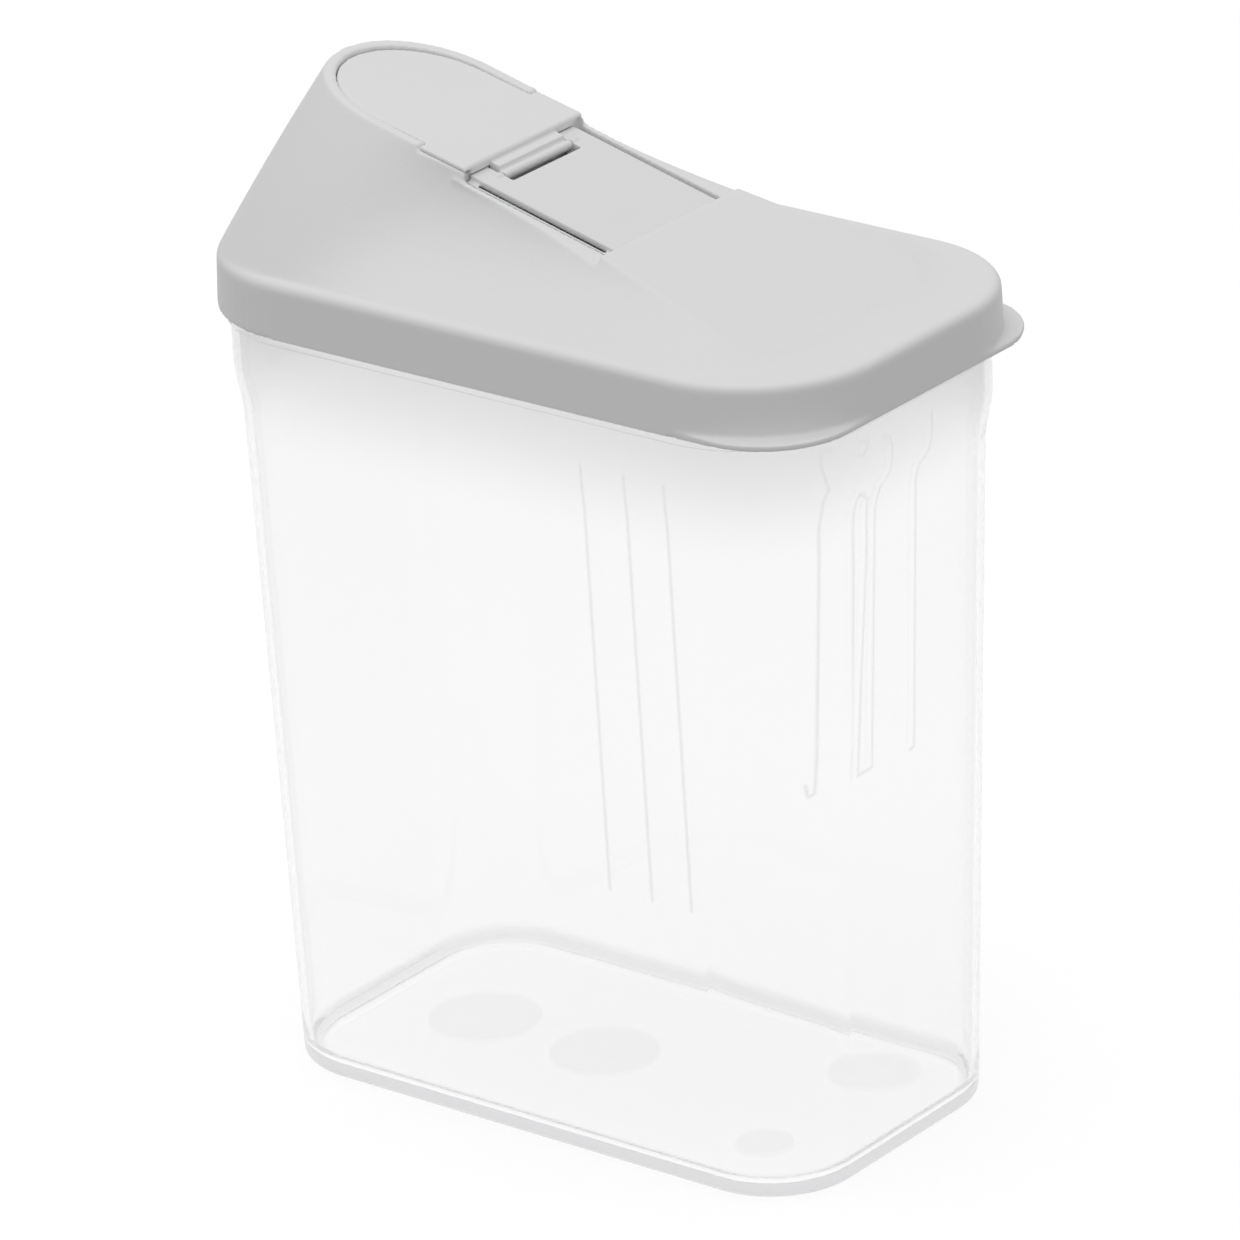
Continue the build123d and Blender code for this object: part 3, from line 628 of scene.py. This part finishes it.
def drawn_steel(name):
    """steel wire with fine lines along Y"""
    material = bpy.data.materials.new(name)
    material.use_nodes = True
    tree = material.node_tree
    shader = tree.nodes["Principled BSDF"]
    shader.inputs["Metallic"].default_value = 1.0
    place = add_node(tree, "ShaderNodeTexCoord")
    stretch = add_node(tree, "ShaderNodeMapping")
    stretch.inputs["Scale"].default_value = GRAIN_OF_WIRE
    lines = add_node(tree, "ShaderNodeTexNoise")
    lines.inputs["Scale"].default_value = 1.0
    tone = add_node(tree, "ShaderNodeValToRGB")
    tone.color_ramp.elements[0].color = (0.42, 0.42, 0.43, 1.0)
    tone.color_ramp.elements[1].color = (0.66, 0.66, 0.66, 1.0)
    rough = add_node(tree, "ShaderNodeMapRange")
    rough.inputs["To Min"].default_value = 0.25
    rough.inputs["To Max"].default_value = 0.45
    link(tree, place.outputs["Object"], stretch.inputs["Vector"])
    link(tree, stretch.outputs["Vector"], lines.inputs["Vector"])
    link(tree, lines.outputs["Fac"], tone.inputs["Fac"])
    link(tree, lines.outputs["Fac"], rough.inputs["Value"])
    link(tree, tone.outputs["Color"], shader.inputs["Base Color"])
    link(tree, rough.outputs["Result"], shader.inputs["Roughness"])
    return material


dress(nodes["hinge_pin"], drawn_steel("drawn steel"))
print("pin dressed")

# %% [markdown]
# A product like this is photographed on a white sweep. The floor and the sky are white to the eye and in
# what the plastic reflects and bends, but they light the object more softly, so that its sides shade off.
# The kind of ray tells the two apart. The floor keeps a part of its own shading, and with it the object's
# shadow.

# %% The white floor
FLOOR_SIDE = 14.0           # metres
FLOOR_GAP = 0.0002          # the floor lies this far below the base, so that the two do not share a plane
FLOOR_GLOW = 0.79           # the even part of the white that the eye sees
FLOOR_SHADE = 0.33          # the part of it that the light and the object's shadow change
FLOOR_LIGHT = 0.52          # how white the floor is where it lights the object


def white_to_the_eye(tree):
    """a value that is 1 for rays that show the backdrop itself, and 0 for rays that gather light"""
    path = add_node(tree, "ShaderNodeLightPath")
    seen = path.outputs["Is Camera Ray"]
    for name in ("Is Glossy Ray", "Is Transmission Ray"):
        either = add_node(tree, "ShaderNodeMath", operation="MAXIMUM")
        link(tree, seen, either.inputs[0])
        link(tree, path.outputs[name], either.inputs[1])
        seen = either.outputs[0]
    return seen


def white_floor():
    """a plain floor, white where it is seen and softer where it lights the object"""
    half = FLOOR_SIDE / 2
    mesh = bpy.data.meshes.new("floor")
    corners = [(x, y, -FLOOR_GAP) for x, y in ((-half, -half), (half, -half), (half, half), (-half, half))]
    mesh.from_pydata(corners, [], [(0, 1, 2, 3)])
    floor = bpy.data.objects.new("floor", mesh)
    bpy.context.scene.collection.objects.link(floor)
    material = bpy.data.materials.new("white floor")
    material.use_nodes = True
    tree = material.node_tree
    tree.nodes.remove(tree.nodes["Principled BSDF"])
    lighting = add_node(tree, "ShaderNodeBsdfDiffuse")
    lighting.inputs["Color"].default_value = (FLOOR_LIGHT, FLOOR_LIGHT, FLOOR_LIGHT, 1.0)
    shade = add_node(tree, "ShaderNodeBsdfDiffuse")
    shade.inputs["Color"].default_value = (FLOOR_SHADE, FLOOR_SHADE, FLOOR_SHADE, 1.0)
    glow = add_node(tree, "ShaderNodeEmission")
    glow.inputs["Strength"].default_value = FLOOR_GLOW
    seen = add_node(tree, "ShaderNodeAddShader")
    link(tree, shade.outputs[0], seen.inputs[0])
    link(tree, glow.outputs[0], seen.inputs[1])
    choice = add_node(tree, "ShaderNodeMixShader")
    link(tree, white_to_the_eye(tree), choice.inputs["Fac"])
    link(tree, lighting.outputs[0], choice.inputs[1])
    link(tree, seen.outputs[0], choice.inputs[2])
    link(tree, choice.outputs[0], tree.nodes["Material Output"].inputs["Surface"])
    mesh.materials.append(material)
    return floor


white_floor()
print("floor laid")

# %% The sky
SKY_LIGHT = 0.62


def white_sky():
    """a world that is white to look at and softer as a light"""
    world = bpy.data.worlds.new("white sky")
    world.use_nodes = True
    bpy.context.scene.world = world
    tree = world.node_tree
    tree.nodes.clear()
    strength = add_node(tree, "ShaderNodeMapRange")
    strength.inputs["To Min"].default_value = SKY_LIGHT
    strength.inputs["To Max"].default_value = 1.0
    glow = add_node(tree, "ShaderNodeBackground")
    link(tree, white_to_the_eye(tree), strength.inputs["Value"])
    link(tree, strength.outputs["Result"], glow.inputs["Strength"])
    link(tree, glow.outputs[0], add_node(tree, "ShaderNodeOutputWorld").inputs["Surface"])


white_sky()
print("sky set")

# %% [markdown]
# One wide lamp hangs over the object, a little toward the spout. It makes the top faces the brightest and
# leaves the two sides that the camera sees in an even half tone.

# %% The lamp
LAMP_PLACE = (-0.05, -0.15, 1.5)
LAMP_AIM = (0.0, 0.0, 0.15)
LAMP_SIDE = 1.2
LAMP_POWER = 6.8            # watts


def soft_lamp(name, place, aim, size, power):
    """a square area lamp that looks at a point"""
    light = bpy.data.lights.new(name, "AREA")
    light.size = size
    light.energy = power
    lamp = bpy.data.objects.new(name, light)
    bpy.context.scene.collection.objects.link(lamp)
    way = Vector(place) - Vector(aim)
    lamp.matrix_world = Matrix.Translation(place) @ way.to_track_quat("Z", "Y").to_matrix().to_4x4()
    return lamp


soft_lamp("overhead", LAMP_PLACE, LAMP_AIM, LAMP_SIDE, LAMP_POWER)
print("lamp hung")

# %% [markdown]
# The camera stands where the photograph was taken from: in front, to the right of the object and above it,
# with a long lens. Its place follows from two angles, a small tilt and the distance to the object.

# %% The camera
VIEW_AZIMUTH = math.radians(38.3)       # to the right of the front
VIEW_ELEVATION = math.radians(22.8)
VIEW_TILT = math.radians(-2.44)
VIEW_DISTANCE = 2.304
VIEW_TARGET = Vector((-0.0001, -0.0001, 0.1207))
FOCAL_PIXELS = 9460.0       # focal length in pixels of the photograph's 1240-pixel width
FRAME_PIXELS = 1240.0
SENSOR = 36.0


def photo_camera():
    """the camera at the photograph's viewing angle"""
    back = Vector((math.sin(VIEW_AZIMUTH) * math.cos(VIEW_ELEVATION),
                   -math.cos(VIEW_AZIMUTH) * math.cos(VIEW_ELEVATION), math.sin(VIEW_ELEVATION)))
    level = Vector((math.cos(VIEW_AZIMUTH), math.sin(VIEW_AZIMUTH), 0.0))
    upright = back.cross(level)
    right = level * math.cos(VIEW_TILT) + upright * math.sin(VIEW_TILT)
    up = upright * math.cos(VIEW_TILT) - level * math.sin(VIEW_TILT)
    lens = bpy.data.cameras.new("camera")
    lens.sensor_width = SENSOR
    lens.lens = FOCAL_PIXELS / FRAME_PIXELS * SENSOR
    lens.clip_start = 0.1
    lens.clip_end = 100.0
    camera = bpy.data.objects.new("camera", lens)
    bpy.context.scene.collection.objects.link(camera)
    turn = Matrix((right, up, back)).transposed().to_4x4()
    camera.matrix_world = Matrix.Translation(VIEW_TARGET + back * VIEW_DISTANCE) @ turn
    bpy.context.scene.camera = camera
    return camera


camera = photo_camera()
bpy.context.scene.view_settings.view_transform = "Standard"
print("lens", round(camera.data.lens, 1), "mm at", [round(v, 3) for v in camera.location])
